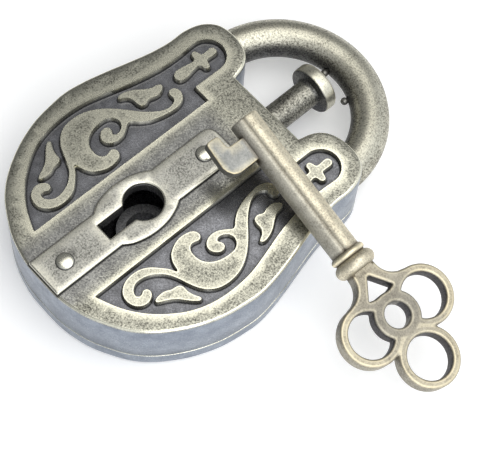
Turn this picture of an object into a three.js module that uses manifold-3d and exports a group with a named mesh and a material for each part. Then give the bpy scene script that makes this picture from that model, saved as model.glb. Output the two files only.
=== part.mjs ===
// Warded padlock with a swinging shackle, a sprung plunger and its loose key.
// Millimetres. The lock lies on its back: the origin is on the flat back, under the middle of the
// keyhole, +X is the lock's right, +Y points to the shackle and +Z out of the decorated face.

import * as THREE from 'three';
import { mergeVertices } from 'three/addons/utils/BufferGeometryUtils.js';
import Module from 'manifold-3d';

const wasm = await Module();
wasm.setup();

// ---------------------------------------------------------------- driving dimensions

const FACE_Z = 12;              // outer face of the front shell
const BACK_FLOOR = 1.4;         // thickness of the back plate
const PARTING_Z = 3;            // where the two shells meet
const PARTING_GAP = 0.1;        // seam left between the shells
const FRONT_FLOOR_Z = 10.2;     // inner face of the front plate
const PANEL_Z = 11.2;           // floor of the sunk ornament panels
const AXIS_Z = 6.2;             // height of the shackle wire and of the plunger
const CHAMBER_NECK = { x: 9.2, y: 17.5 };
const CHAMBER_TOP_Y = 23.2;     // inner face of the top wall
const TOP_Y = 24.9;             // outer face of the top wall, between the ears

const WIRE_R = 3.05;            // shackle wire
const BEND_R = 14.1;            // shackle bend, to the middle of the wire
const BEND_Y = 28.35;           // centre of that bend
const PIVOT = { x: -BEND_R, y: 24 };
const PIVOT_PIN_R = 1.2;
const TOE_Y = 21.05;            // centre of the ball end of the free leg
const SWING_DEG = 60;           // how far the shackle swings open
const FIT = 0.35;               // clearance round moving pieces
const BORE_FIT = 0.15;          // clearance of the shackle round its pivot pin
const PIN_Z = [0.9, 10.4];      // ends of the pivot pin
const EAR_TOP_Y = 32;           // a level above both ears, where the pockets run out
const TOE_POCKET_Y = 17.3;      // floor of the free leg's pocket
const WELD = 0.3;               // how far joined pieces of one casting overlap

const BOLT_Y = [20.9, 22.6];    // edges of the bolt's head
const BOLT_Z = [1.7, 2.9];      // the bolt plate
const BOLT_THROW = 2.4;         // travel from unlocked to locked
const BOLT = {
  left: -5.5, head: [4, 10.1], headTop: 7.4, shoulder: 6.4, shoulderY: 17.2, tail: 3.5, foot: 5.4,
};
const TALON = { x: [-3.4, 0.8], y: [5, 7.5] };  // the notch that the key's bit catches
const GUIDE_PIN = { y: 19.9, r: 1 };            // fixed pin in the bolt's upper slot
const LEAF_CURVE = [[-8.7, 16.6], [-6.9, 14.6], [-6.05, 12], [-6.9, 9.4], [-8.7, 7.4]];
const LEAF_THICKNESS = 0.35;
const LEAF_WALL = { x: [-9.5, -8.8], y: [7, 17] };
const INNER_TOP = 4.4;          // top of the leaf spring and of its wall
const WARD = { inner: 2.85, outer: 4.3, z: [1.45, 3.2] };

const KEYHOLE_R = 3.05;
const KEYHOLE_SLOT = { halfWidth: 1.45, end: -7.6 };
const STRAP_Z = [12.05, 12.55];

const STRAP_RIVETS = { upper: [0, 12.1], lower: [0, -14.9] };
const CASE_RIVETS = {
  lower_left: [-11.5, -9.5],
  lower_right: [11.5, -9.5],
  upper_left: [-13.4, 8.5],
  upper_right: [13.4, 8.5],
};
const RIVET_SHANK_R = 0.9;
const RIVET_HOLE_R = 1.2;
const RIVET_HEAD_R = 1.8;
const RIVET_HEAD_Z = [0.1, 0.7];
const RIVET_SINK = { r: 2.15, depth: 1 };
const RIVET_TOP = 8.8;          // end of a case rivet's shank
const BOSS_R = 2.4;             // posts in the front shell that take the case rivets
const DOME = [[1.45, 12.6], [1.35, 12.8], [0.85, 13], [0, 13.05]];

const PLUNGER = { rodR: 2.3, neckR: 1.9, headR: 4.05, foot: 18.5, shoulder: 22.95, head: [34.5, 36.7] };
const COLLAR = { inner: 2.2, outer: 3, y: [21.4, 22.8] };
const SPRING = { radius: 2.45, wire: 0.28, turns: 5, y: [14.9, 21] };
const SPRING_SEAT = { halfWidth: 3.2, y: [13.7, 14.5], foot: 3.3 };
const STUD = { ballR: 0.62, stemR: 0.3, ringR: 10.45, foot: 12.3, gap: 0.25, angles: { left: -5, right: 28 } };

// The key's own sizes run along +X from its tip. It lies across the right edge of the case.
const KEY = { shaftR: 2.25, shaftLength: 25, halfThickness: 1.25, bitHalf: 0.8 };
const KEY_RING = { x: 36.4, hole: 1.97, outer: 3.75 };
const KEY_LOBES = [[36.45, 5.25], [36.45, -5.25], [44, 0]];
const KEY_LOBE = { hole: 3.48, outer: 4.8 };
const KEY_POSE = { tip: [1.92, 17.74, 18.98], slopeDeg: 13.95, headingDeg: -2.8, rollDeg: -3.2 };

// ---------------------------------------------------------------- outlines of the right half

const CASE_OUTLINE = [
  [0, -19.3], [3.4, -19.2], [6.1, -18.7], [8.7, -17.9], [11.7, -16.4], [14.2, -14.8], [16.4, -12.7],
  [18.3, -10.1], [20, -7], [21.4, -3.2], [22.1, 0.8], [22.3, 3.5], [21.9, 6.8], [21.1, 10.5],
  [20.1, 14.4], [19.2, 18.3], [18.8, 21.5], [18.8, 24.7], [18, 27.5], [16.2, 29.4], [13.8, 30],
  [11.2, 29.8], [9.1, 28.9], [7.8, 27.3], [7.1, TOP_Y],
];
const CHAMBER_OUTLINE = [
  [0, -17.4], [6, -16.7], [11, -14.8], [15.3, -11.4], [18.3, -7], [19.9, -2], [20.3, 3],
  [19.8, 8], [18.6, 13], [17.3, 17.5],
];
const PANEL_EDGE = [
  [15.9, 24.2], [15.7, 20.5], [15.9, 16.8], [16.8, 12], [17.9, 8], [18.8, 4.2], [19, 0.5],
  [18.6, -3], [17.6, -6], [16, -8.6], [13.7, -11.2], [10.7, -13.4], [6.85, -15.1],
];
const SCROLL = [
  [10.6, 15.2], [11.1, 15.1], [11.8, 15.3], [12.1, 15.8], [11.9, 16.5], [10.8, 16.9], [9.6, 16.3],
  [9, 15], [9, 13.4], [9.3, 11.7], [9.9, 9.9], [10.8, 8.5], [11.8, 7.3], [11.2, 6.3],
  [10.6, 5.3], [10.4, 4], [10.7, 3], [11.4, 2.3], [12.3, 2.2], [13.1, 2.7], [13.5, 3.4],
  [13.4, 4.1], [12.9, 4.5], [12.3, 4.4], [11.9, 4.1], [11.5, 4.5], [11.6, 5.3], [12.1, 6],
  [12.9, 6.3], [13.8, 6], [14.4, 5.2], [14.5, 3.8], [14.2, 2.1], [13.4, 0.8], [12.4, 0.15],
  [11.2, 0], [10.3, 0.2], [9.75, 0.8], [9.8, 1.5], [10, 2.2], [9.6, 2.8], [8.9, 2.85],
  [8.2, 2.4], [7.8, 1.2], [7.8, -0.2], [8.3, -1.5], [9, -2.5], [10.2, -3.2], [11.6, -3.55],
  [10.6, -4.15], [9.6, -5], [8.6, -6], [7.9, -7.2], [7.65, -8.6], [7.8, -10], [8.4, -11.2],
  [9.4, -12], [10.7, -12.15], [11.8, -11.7], [12.5, -10.8], [12.6, -9.7], [12.1, -8.8],
  [11.4, -8.45], [10.8, -8.7], [10.65, -9.3], [11, -9.9], [10.9, -10.45], [10.3, -10.55],
  [9.6, -10.1], [9.15, -9.3], [9.15, -8.2], [9.5, -7], [10.2, -5.9], [11.3, -4.9],
  [12.7, -4.2], [14.2, -3.65], [15.6, -3], [16.7, -2.1], [17.5, -0.9], [17.85, 0.6],
  [17.8, 2.3], [17.3, 4.1], [16.3, 5.8], [15, 7.3], [13.6, 8.6], [12.2, 9.8], [11.1, 11],
  [10.2, 12.3], [9.8, 13.6], [10.1, 14.8],
];
const UPPER_LEAF = [
  [15.9, 8.7], [16.4, 9.1], [16.3, 10.2], [15.7, 11.6], [14.8, 12.8], [14.2, 13.9], [14, 15],
  [13.5, 15.5], [12.9, 15], [12.5, 14.1], [12.6, 13.1], [12.85, 12.3], [12.5, 11.4], [12.7, 10.6],
  [13.4, 10.3], [14.5, 10.25], [15.3, 9.7],
];
const LOWER_LEAF = [
  [12.95, -9], [12.7, -8.1], [12.75, -7], [13.2, -6], [13.3, -5.1], [13.8, -4.5], [15, -4.45],
  [16.1, -4.1], [17, -3.65], [17.3, -4], [16.8, -4.8], [15.8, -5.7], [14.8, -6.6], [14.1, -7.7],
  [13.6, -8.7], [13.3, -9.1],
];
const CROSS_X = 13;
const CROSS_HALF = [
  [0, 26.1], [0.45, 25.95], [0.7, 25.5], [0.68, 23.75], [1.15, 23.55], [1.8, 23.3], [1.95, 22.85],
  [1.6, 22.4], [0.7, 22.2], [0.65, 21.4], [1, 19.4], [0.95, 18.4], [0.5, 17.8], [0, 17.65],
];
const PANEL_CORNER = [[6.85, 19], [9.9, 19]];
const PANEL_ARCH = { x: 12.9, y: 24.2, r: 3 };
const STRAP_FOOT = [3.3, -19];
const STRAP_HEAD = [[3.3, 14.7], [2.9, 15.7], [2, 16.1]];
const STRAP_EDGE = [
  [3.3, -6.9], [4.2, -5.4], [4.8, -3.3], [4.95, -1], [4.65, 1.2], [4, 3], [3.25, 4.3],
];
const KEY_COLLAR = [
  [24.7, 0], [24.7, 2.4], [25, 2.75], [25.4, 2.75], [25.7, 2.4], [26, 2.9], [26.7, 3.25],
  [27.3, 3.1], [27.9, 2.4], [27.9, 0],
];
const KEY_BIT = [
  [2.25, -2], [2.2, -5], [0.2, -5.15], [0, -7.15], [0.3, -7.4], [4.4, -7.55], [5.7, -7], [6.3, -5.8],
  [6.15, -2],
];
const KEY_NECK = [[27, 2.1], [28.1, 2.25], [29.6, 2.55], [30.6, 3.2], [31.3, 4.2], [31.8, 5.25], [33.5, 5.25]];
const KEY_WINDOW = [[29.5, 0.1], [32.35, 2.15], [32.8, 0.8], [32.8, -0.8], [32.35, -2.15], [29.5, -0.1]];

// ---------------------------------------------------------------- geometry helpers

function toSolid(geometry) {
  const bare = geometry.clone();
  bare.deleteAttribute('normal');
  bare.deleteAttribute('uv');
  const merged = mergeVertices(bare, 1e-4);
  const triangles = [];
  const index = merged.index.array;
  for (let i = 0; i < index.length; i += 3) {
    const [a, b, c] = [index[i], index[i + 1], index[i + 2]];
    if (a !== b && b !== c && c !== a) triangles.push(a, b, c);
  }
  return new wasm.Manifold(new wasm.Mesh({
    numProp: 3,
    vertProperties: merged.attributes.position.array,
    triVerts: new Uint32Array(triangles),
  }));
}

function toGeometry(solid) {
  const mesh = solid.getMesh();
  const geometry = new THREE.BufferGeometry();
  geometry.setAttribute('position', new THREE.BufferAttribute(new Float32Array(mesh.vertProperties), 3));
  geometry.setIndex(new THREE.BufferAttribute(new Uint32Array(mesh.triVerts), 1));
  geometry.computeVertexNormals();
  return geometry;
}

function join(first, ...others) {
  return others.reduce((sum, solid) => sum.add(solid), first);
}

function cut(first, ...others) {
  return others.reduce((rest, solid) => rest.subtract(solid), first);
}

// A flat outline raised between two heights.
function prism(shape, low, high, curveSegments = 8) {
  const options = { depth: high - low, bevelEnabled: false, curveSegments };
  return toSolid(new THREE.ExtrudeGeometry(shape, options).translate(0, 0, low));
}

function box([x0, x1], [y0, y1], [z0, z1]) {
  const geometry = new THREE.BoxGeometry(x1 - x0, y1 - y0, z1 - z0);
  return toSolid(geometry.translate((x0 + x1) / 2, (y0 + y1) / 2, (z0 + z1) / 2));
}

// A turned solid standing on the XY plane: its profile is a list of [radius, height].
function turnedGeometry(profile, segments = 20) {
  const points = profile.map(([r, z]) => new THREE.Vector2(r, z));
  return new THREE.LatheGeometry(points, segments).rotateX(Math.PI / 2);
}

function post(x, y, profile, segments) {
  return toSolid(turnedGeometry(profile, segments).translate(x, y, 0));
}

function rod(x, y, radius, low, high, segments) {
  return post(x, y, [[0, low], [radius, low], [radius, high], [0, high]], segments);
}

// A turned solid about an axis parallel to Y, at the height of the shackle wire.
function turnedAlongY(profile, x = 0, segments = 20) {
  const geometry = new THREE.LatheGeometry(profile.map(([r, y]) => new THREE.Vector2(r, y)), segments);
  return toSolid(geometry.translate(x, 0, AXIS_Z));
}

function ball(radius, x, y, z = AXIS_Z) {
  return toSolid(new THREE.SphereGeometry(radius, 16, 10).translate(x, y, z));
}

function polygon(points) {
  return new THREE.Shape(points.map(([x, y]) => new THREE.Vector2(x, y)));
}

function smooth(points, divisions, closed = false) {
  const knots = points.map(([x, y]) => new THREE.Vector3(x, y, 0));
  const curve = new THREE.CatmullRomCurve3(knots, closed, 'centripetal');
  const samples = curve.getPoints(divisions).map((p) => [p.x, p.y]);
  return closed ? samples.slice(0, -1) : samples;
}

function mirrored(points) {
  return points.map(([x, y]) => [-x, y]).reverse();
}

// Both halves of an outline whose first point is on the middle line.
function wholeOutline(half) {
  return [...mirrored(half.slice(1)), ...half];
}

function onSide(points, side) {
  return side > 0 ? points : mirrored(points);
}

function radians(degrees) {
  return THREE.MathUtils.degToRad(degrees);
}

// ---------------------------------------------------------------- outlines in full

function caseShape() {
  return polygon(smooth(wholeOutline(CASE_OUTLINE), 96));
}

function chamberShape() {
  const round = smooth(wholeOutline(CHAMBER_OUTLINE), 40);
  const neck = [[CHAMBER_NECK.x, CHAMBER_NECK.y], [CHAMBER_NECK.x, CHAMBER_TOP_Y]];
  return polygon([...round, ...neck, ...mirrored(neck)]);
}

function panelShape(side) {
  const arch = [];
  const { x, y, r } = PANEL_ARCH;
  for (let degrees = 180; degrees > 0; degrees -= 20) {
    arch.push([x + r * Math.cos(radians(degrees)), y + r * Math.sin(radians(degrees))]);
  }
  const points = [...PANEL_CORNER, ...arch, ...smooth(PANEL_EDGE, 24)];
  return polygon(onSide(points, side).reverse());
}

function crossShape(side) {
  const whole = [...CROSS_HALF, ...mirrored(CROSS_HALF).slice(1, -1)];
  return polygon(whole.map(([x, y]) => [side * CROSS_X + x, y]));
}

function keyholeShape() {
  const { halfWidth, end } = KEYHOLE_SLOT;
  const start = -Math.acos(halfWidth / KEYHOLE_R);
  const shape = new THREE.Shape();
  shape.absarc(0, 0, KEYHOLE_R, start, Math.PI - start, false);
  shape.lineTo(-halfWidth, end);
  shape.lineTo(halfWidth, end);
  return shape;
}

function strapShape() {
  const side = [STRAP_FOOT, ...smooth(STRAP_EDGE, 12), ...STRAP_HEAD];
  return polygon([...side, ...mirrored(side)]);
}

// ---------------------------------------------------------------- pockets cut in both shells

// The slot in which the heel of the shackle swings out through the side of the left ear.
function heelPocket() {
  const reach = WIRE_R + FIT;
  const away = radians(90 + SWING_DEG);
  const runOut = 12;
  const aside = away + Math.PI / 2;
  const points = [[PIVOT.x + reach, EAR_TOP_Y], [PIVOT.x - runOut, EAR_TOP_Y], [
    PIVOT.x + reach * Math.cos(aside) + runOut * Math.cos(away),
    PIVOT.y + reach * Math.sin(aside) + runOut * Math.sin(away),
  ]];
  for (let degrees = 180 + SWING_DEG; degrees <= 360; degrees += 15) {
    points.push([PIVOT.x + reach * Math.cos(radians(degrees)), PIVOT.y + reach * Math.sin(radians(degrees))]);
  }
  return prism(polygon(points), AXIS_Z - reach, AXIS_Z + reach);
}

// The mouth in the right ear that the free leg drops into; it is wide enough for the leg's arc.
function toePocket() {
  const reach = WIRE_R + FIT;
  const slot = new THREE.Shape();
  slot.absarc(BEND_R + 0.05, 0, reach, -Math.PI / 2, Math.PI / 2, false);
  slot.absarc(BEND_R - 0.4, 0, reach, Math.PI / 2, 1.5 * Math.PI, false);
  const depth = EAR_TOP_Y - TOE_POCKET_Y;
  const geometry = new THREE.ExtrudeGeometry(slot, { depth, bevelEnabled: false, curveSegments: 8 });
  return toSolid(geometry.rotateX(-Math.PI / 2).translate(0, TOE_POCKET_Y, AXIS_Z));
}

// The way from the chamber into the right ear, for the head of the bolt.
function boltPassage() {
  const run = [CHAMBER_NECK.x - WELD, BOLT.head[1] + BOLT_THROW + FIT];
  return box(run, [BOLT_Y[0] - FIT, BOLT_Y[1] + FIT], [BACK_FLOOR, BOLT.headTop + FIT]);
}

function pivotSockets() {
  return rod(PIVOT.x, PIVOT.y, PIVOT_PIN_R + FIT, PIN_Z[0] - FIT, PIN_Z[1] + FIT, 16);
}

// ---------------------------------------------------------------- the case

function frontShell() {
  let shell = prism(caseShape(), PARTING_Z + PARTING_GAP, FACE_Z);
  shell = cut(shell, prism(chamberShape(), PARTING_Z - 1, FRONT_FLOOR_Z));
  for (const side of [-1, 1]) {
    const ornament = [SCROLL, UPPER_LEAF, LOWER_LEAF].map((points) => (
      prism(polygon(smooth(onSide(points, side), Math.round(points.length * 1.1), true)), PANEL_Z - WELD, FACE_Z)
    ));
    shell = cut(shell, prism(panelShape(side), PANEL_Z, FACE_Z + 1));
    shell = join(shell, ...ornament, prism(crossShape(side), PANEL_Z - WELD, FACE_Z));
  }
  const seatX = [-SPRING_SEAT.halfWidth, SPRING_SEAT.halfWidth];
  shell = join(shell, box(seatX, SPRING_SEAT.y, [SPRING_SEAT.foot, FRONT_FLOOR_Z + WELD]));
  for (const [x, y] of Object.values(CASE_RIVETS)) {
    shell = join(shell, rod(x, y, BOSS_R, BACK_FLOOR + WELD, FRONT_FLOOR_Z + WELD, 16));
    shell = cut(shell, rod(x, y, RIVET_HOLE_R, 0, RIVET_TOP + FIT, 12));
  }
  for (const [x, y] of Object.values(STRAP_RIVETS)) {
    shell = cut(shell, rod(x, y, RIVET_HOLE_R, 0, FACE_Z + 1, 12));
  }
  const holeR = PLUNGER.rodR + FIT;
  const plungerHole = turnedAlongY([
    [0, CHAMBER_TOP_Y - 1], [holeR, CHAMBER_TOP_Y - 1], [holeR, TOP_Y + 1], [0, TOP_Y + 1],
  ]);
  const keyhole = prism(keyholeShape(), FRONT_FLOOR_Z - 1, FACE_Z + 1, 14);
  return cut(shell, keyhole, plungerHole, heelPocket(), toePocket(), boltPassage(), pivotSockets());
}

function backShell() {
  let shell = prism(caseShape(), 0, PARTING_Z);
  shell = cut(shell, prism(chamberShape(), BACK_FLOOR, PARTING_Z + 1));
  shell = cut(shell, heelPocket(), toePocket(), boltPassage(), pivotSockets());
  shell = join(shell, box(LEAF_WALL.x, LEAF_WALL.y, [BACK_FLOOR - WELD, INNER_TOP]));
  for (const [x, y] of [...Object.values(CASE_RIVETS), ...Object.values(STRAP_RIVETS)]) {
    shell = cut(shell, rod(x, y, RIVET_HOLE_R, -1, PARTING_Z, 12));
    shell = cut(shell, rod(x, y, RIVET_SINK.r, -1, RIVET_SINK.depth, 16));
  }
  return cut(shell, rod(0, GUIDE_PIN.y, GUIDE_PIN.r + FIT, 0.5, PARTING_Z, 12));
}

function keyholeStrap() {
  let strap = prism(strapShape(), ...STRAP_Z);
  strap = cut(strap, prism(keyholeShape(), FACE_Z - 1, FACE_Z + 2, 14));
  for (const [x, y] of Object.values(STRAP_RIVETS)) {
    strap = cut(strap, rod(x, y, RIVET_HOLE_R, FACE_Z - 1, FACE_Z + 2, 12));
  }
  return strap;
}

// A rivet with its tail head sunk in the back plate, ending at the given height.
function caseRivet([x, y]) {
  return post(x, y, [...rivetTail(), [RIVET_SHANK_R, RIVET_TOP], [0, RIVET_TOP]], 14);
}

// A rivet that goes right through and ends in a dome on the strap.
function strapRivet([x, y]) {
  return post(x, y, [...rivetTail(), [RIVET_SHANK_R, DOME[0][1]], ...DOME], 16);
}

function rivetTail() {
  const [low, high] = RIVET_HEAD_Z;
  return [[0, low], [RIVET_HEAD_R, low], [RIVET_HEAD_R, high], [RIVET_SHANK_R, high]];
}

// ---------------------------------------------------------------- the shackle

class ShackleLine extends THREE.Curve {
  getPoint(t, target = new THREE.Vector3()) {
    const heel = BEND_Y - PIVOT.y;
    const toe = BEND_Y - TOE_Y;
    const distance = t * (heel + Math.PI * BEND_R + toe);
    if (distance < heel) return target.set(-BEND_R, PIVOT.y + distance, AXIS_Z);
    const angle = Math.min((distance - heel) / BEND_R, Math.PI);
    const past = Math.max(distance - heel - Math.PI * BEND_R, 0);
    const x = -BEND_R * Math.cos(angle);
    return target.set(x, BEND_Y + BEND_R * Math.sin(angle) - past, AXIS_Z);
  }
}

function ringPlace(angleDeg, radius) {
  return [radius * Math.sin(radians(angleDeg)), BEND_Y + radius * Math.cos(radians(angleDeg))];
}

function shackle() {
  const section = new THREE.Shape();
  section.absarc(0, 0, WIRE_R, 0, 2 * Math.PI, false);
  const wire = toSolid(new THREE.ExtrudeGeometry(section, {
    steps: 34,
    curveSegments: 8,
    extrudePath: new ShackleLine(),
  }));
  let bow = join(wire, ball(WIRE_R, PIVOT.x, PIVOT.y), ball(WIRE_R, BEND_R, TOE_Y));
  bow = cut(bow, rod(PIVOT.x, PIVOT.y, PIVOT_PIN_R + BORE_FIT, 0, FACE_Z, 20));
  const notch = [BOLT.head[0], BOLT.head[1] + BOLT_THROW + FIT];
  bow = cut(bow, box(notch, [BOLT_Y[0] - FIT, BOLT_Y[1] + FIT], [0, FACE_Z]));
  for (const angle of Object.values(STUD.angles)) {
    bow = cut(bow, ball(STUD.ballR + STUD.gap, ...ringPlace(angle, STUD.ringR)));
    bow = cut(bow, studStem(angle, STUD.stemR + STUD.gap, STUD.foot + FIT));
  }
  return bow;
}

function studStem(angle, radius, outer) {
  const stem = new THREE.CylinderGeometry(radius, radius, outer - STUD.ringR, 10);
  const [x, y] = ringPlace(angle, (outer + STUD.ringR) / 2);
  return toSolid(stem.rotateZ(-radians(angle)).translate(x, y, AXIS_Z));
}

function shackleStud(angle) {
  return join(ball(STUD.ballR, ...ringPlace(angle, STUD.ringR)), studStem(angle, STUD.stemR, STUD.foot));
}

// ---------------------------------------------------------------- the plunger

function plunger() {
  const [under, top] = PLUNGER.head;
  return turnedAlongY([
    [0, PLUNGER.foot], [PLUNGER.neckR, PLUNGER.foot], [PLUNGER.neckR, PLUNGER.shoulder],
    [PLUNGER.rodR, PLUNGER.shoulder], [PLUNGER.rodR, under], [PLUNGER.headR - 0.5, under],
    [PLUNGER.headR, under + 0.5], [PLUNGER.headR, top - 0.6], [PLUNGER.headR - 0.6, top], [0, top],
  ], 0, 24);
}

function plungerCollar() {
  const { inner, outer, y } = COLLAR;
  return turnedAlongY([[inner, y[0]], [outer, y[0]], [outer, y[1]], [inner, y[1]], [inner, y[0]]]);
}

class SpringLine extends THREE.Curve {
  getPoint(t, target = new THREE.Vector3()) {
    const angle = 2 * Math.PI * SPRING.turns * t;
    const y = SPRING.y[0] + (SPRING.y[1] - SPRING.y[0]) * t;
    return target.set(SPRING.radius * Math.cos(angle), y, AXIS_Z + SPRING.radius * Math.sin(angle));
  }
}

function plungerSpring() {
  const section = new THREE.Shape();
  section.absarc(0, 0, SPRING.wire, 0, 2 * Math.PI, false);
  const options = { steps: SPRING.turns * 12, curveSegments: 3, extrudePath: new SpringLine() };
  return toSolid(new THREE.ExtrudeGeometry(section, options));
}

// ---------------------------------------------------------------- the lock work

// A rounded slot that lets the bolt slide past a fixed pin.
function slideSlot(y, pinR) {
  const slot = new THREE.Shape();
  slot.absarc(0, y, pinR + FIT, -Math.PI / 2, Math.PI / 2, false);
  slot.absarc(-BOLT_THROW, y, pinR + FIT, Math.PI / 2, 1.5 * Math.PI, false);
  return prism(slot, 0, INNER_TOP, 6);
}

function bolt() {
  const plate = join(
    box([BOLT.left, BOLT.shoulder], [BOLT.shoulderY, BOLT_Y[1]], BOLT_Z),
    box([BOLT.left, BOLT.tail], [BOLT.foot, BOLT.shoulderY + WELD], BOLT_Z),
    box(BOLT.head, BOLT_Y, [BOLT_Z[0], BOLT.headTop]),
  );
  const talon = box(TALON.x, TALON.y, [0, INNER_TOP]);
  const rivetSlot = slideSlot(STRAP_RIVETS.upper[1], RIVET_SHANK_R);
  return cut(plate, talon, rivetSlot, slideSlot(GUIDE_PIN.y, GUIDE_PIN.r));
}

function boltGuidePin() {
  return rod(0, GUIDE_PIN.y, GUIDE_PIN.r, 0.6, PARTING_Z, 14);
}

// A bowed leaf that bears on the tail of the bolt.
function boltSpring() {
  const outer = smooth(LEAF_CURVE, 12);
  const inner = outer.map(([x, y]) => [x + LEAF_THICKNESS, y]).reverse();
  return prism(polygon([...outer, ...inner]), BACK_FLOOR + FIT, INNER_TOP);
}

function wardRing() {
  const { inner, outer, z: [low, high] } = WARD;
  return post(0, 0, [[inner, low], [outer, low], [outer, high], [inner, high], [inner, low]], 28);
}

// ---------------------------------------------------------------- the key, along +X from its tip

function alongKey(profile, segments = 20) {
  const points = profile.map(([x, r]) => new THREE.Vector2(r, x));
  return toSolid(new THREE.LatheGeometry(points, segments).rotateZ(-Math.PI / 2));
}

function keySolid() {
  const flat = [-KEY.halfThickness, KEY.halfThickness];
  const shaft = alongKey([[0, 0], [0, KEY.shaftR], [KEY.shaftLength, KEY.shaftR], [KEY.shaftLength, 0]]);
  const collar = alongKey(KEY_COLLAR);
  const bit = prism(polygon(KEY_BIT), -KEY.bitHalf, KEY.bitHalf);
  const neck = prism(polygon([...KEY_NECK, ...KEY_NECK.map(([x, y]) => [x, -y]).reverse()]), ...flat);
  const discs = KEY_LOBES.map(([x, y]) => rod(x, y, KEY_LOBE.outer, ...flat, 28));
  const holes = KEY_LOBES.map(([x, y]) => rod(x, y, KEY_LOBE.hole, -2, 2, 24));
  const bow = join(
    cut(join(neck, ...discs), ...holes, prism(polygon(KEY_WINDOW), -2, 2)),
    rod(KEY_RING.x, 0, KEY_RING.outer, ...flat, 24),
  );
  return join(shaft, collar, bit, cut(bow, rod(KEY_RING.x, 0, KEY_RING.hole, -2, 2, 20)));
}

// ---------------------------------------------------------------- assembly

const FINISHES = {
  antique: { color: 0x7d7a68, roughness: 0.5, metalness: 0.85 },
  strap: { color: 0x8b887a, roughness: 0.48, metalness: 0.85 },
  shackle: { color: 0x86806c, roughness: 0.42, metalness: 0.9 },
  keyMetal: { color: 0xb5ad95, roughness: 0.34, metalness: 0.9 },
  steel: { color: 0x8c8f92, roughness: 0.4, metalness: 0.9 },
};

const lock = new THREE.Group();

function place(name, solid, finish, parent = lock) {
  const mesh = new THREE.Mesh(toGeometry(solid), new THREE.MeshStandardMaterial(FINISHES[finish]));
  mesh.name = name;
  parent.add(mesh);
}

place('front_shell', frontShell(), 'antique');
place('back_shell', backShell(), 'antique');
place('keyhole_strap', keyholeStrap(), 'strap');
for (const [name, spot] of Object.entries(STRAP_RIVETS)) {
  place(`strap_rivet_${name}`, strapRivet(spot), 'strap');
}
for (const [name, spot] of Object.entries(CASE_RIVETS)) {
  place(`case_rivet_${name}`, caseRivet(spot), 'antique');
}
place('shackle', shackle(), 'shackle');
for (const [name, angle] of Object.entries(STUD.angles)) {
  place(`shackle_stud_${name}`, shackleStud(angle), 'shackle');
}
place('shackle_pivot_pin', rod(PIVOT.x, PIVOT.y, PIVOT_PIN_R, ...PIN_Z, 16), 'steel');
place('plunger', plunger(), 'shackle');
place('plunger_collar', plungerCollar(), 'steel');
place('plunger_spring', plungerSpring(), 'steel');
place('bolt', bolt(), 'steel');
place('bolt_guide_pin', boltGuidePin(), 'steel');
place('bolt_leaf_spring', boltSpring(), 'steel');
place('ward_ring', wardRing(), 'steel');

const key = new THREE.Group();
key.position.set(...KEY_POSE.tip);
const { rollDeg, slopeDeg, headingDeg } = KEY_POSE;
key.rotation.set(radians(rollDeg), radians(slopeDeg), radians(headingDeg), 'ZYX');
place('key', keySolid(), 'keyMetal', key);
lock.add(key);

export default lock;
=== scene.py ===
# Looks for the antique padlock and its key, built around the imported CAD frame.
import math

import bmesh
import bpy
import numpy as np
from mathutils import Matrix, Vector
from mathutils.geometry import delaunay_2d_cdt


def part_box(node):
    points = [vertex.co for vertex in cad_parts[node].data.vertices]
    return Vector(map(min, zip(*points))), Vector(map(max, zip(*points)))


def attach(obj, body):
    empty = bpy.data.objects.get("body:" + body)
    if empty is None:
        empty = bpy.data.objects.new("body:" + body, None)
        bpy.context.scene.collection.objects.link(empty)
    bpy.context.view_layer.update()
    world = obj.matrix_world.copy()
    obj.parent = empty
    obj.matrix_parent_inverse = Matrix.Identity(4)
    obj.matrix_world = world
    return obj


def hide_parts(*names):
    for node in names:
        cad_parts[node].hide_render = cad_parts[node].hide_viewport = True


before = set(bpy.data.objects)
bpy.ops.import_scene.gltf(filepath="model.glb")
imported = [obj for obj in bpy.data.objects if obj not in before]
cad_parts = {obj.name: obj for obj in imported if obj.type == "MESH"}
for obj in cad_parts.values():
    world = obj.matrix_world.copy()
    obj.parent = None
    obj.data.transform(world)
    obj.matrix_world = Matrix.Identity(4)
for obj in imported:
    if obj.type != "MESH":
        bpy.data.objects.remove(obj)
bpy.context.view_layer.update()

MM = 0.001  # every size below is in millimetres; meshes are written in metres

# ---------------------------------------------------------------- driving dimensions

FACE_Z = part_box("front_shell")[1].z / MM
PANEL_DEPTH = 0.85
PARTING_Z = 3.0
BACK_FLOOR = 1.4
CEILING_Z = 10.2
CHAMBER_TOP_Y = 23.2
TOP_Y = 24.9

STRAP_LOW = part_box("keyhole_strap")[0].z / MM
STRAP_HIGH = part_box("keyhole_strap")[1].z / MM
KEYHOLE_R = 3.05
SLOT_HALF = 1.45
SLOT_END = -7.6

AXIS_Z = 6.2
WIRE_R = 3.05
BEND_R = 14.1
BEND_Y = 28.35
PIVOT = (-BEND_R, 24.0)
TOE_Y = 21.05
SWING_DEG = 60
FIT = 0.35
POCKET_LENGTH = 12
STUDS = {"shackle_stud_left": -5, "shackle_stud_right": 28}  # degrees from the middle of the bend
STUD_RING_R = 10.45
STUD_BALL_R = 0.62
STUD_NECK_R = 0.3
STUD_FOOT = 12.3
PIN_BORE_R = 1.35
SEAM_SPREAD = 0.16  # half width, in radians, of the casting ridge round the shackle

STRAP_RIVETS = {"strap_rivet_upper": (0, 12.1), "strap_rivet_lower": (0, -14.9)}
CASE_RIVETS = [(-11.5, -9.5), (11.5, -9.5), (-13.4, 8.5), (13.4, 8.5)]
RIVET_HOLE_R = 1.2
RIVET_SINK_R = 2.15
RIVET_BOSS_R = 2.4
RIVET_HOLE_END = 9.2
STRAP_RIVET_R = 1.42
STRAP_RIVET_RISE = 0.42
STRAP_RIVET_SHANK = 0.9
STRAP_RIVET_Z = 12.62

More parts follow.
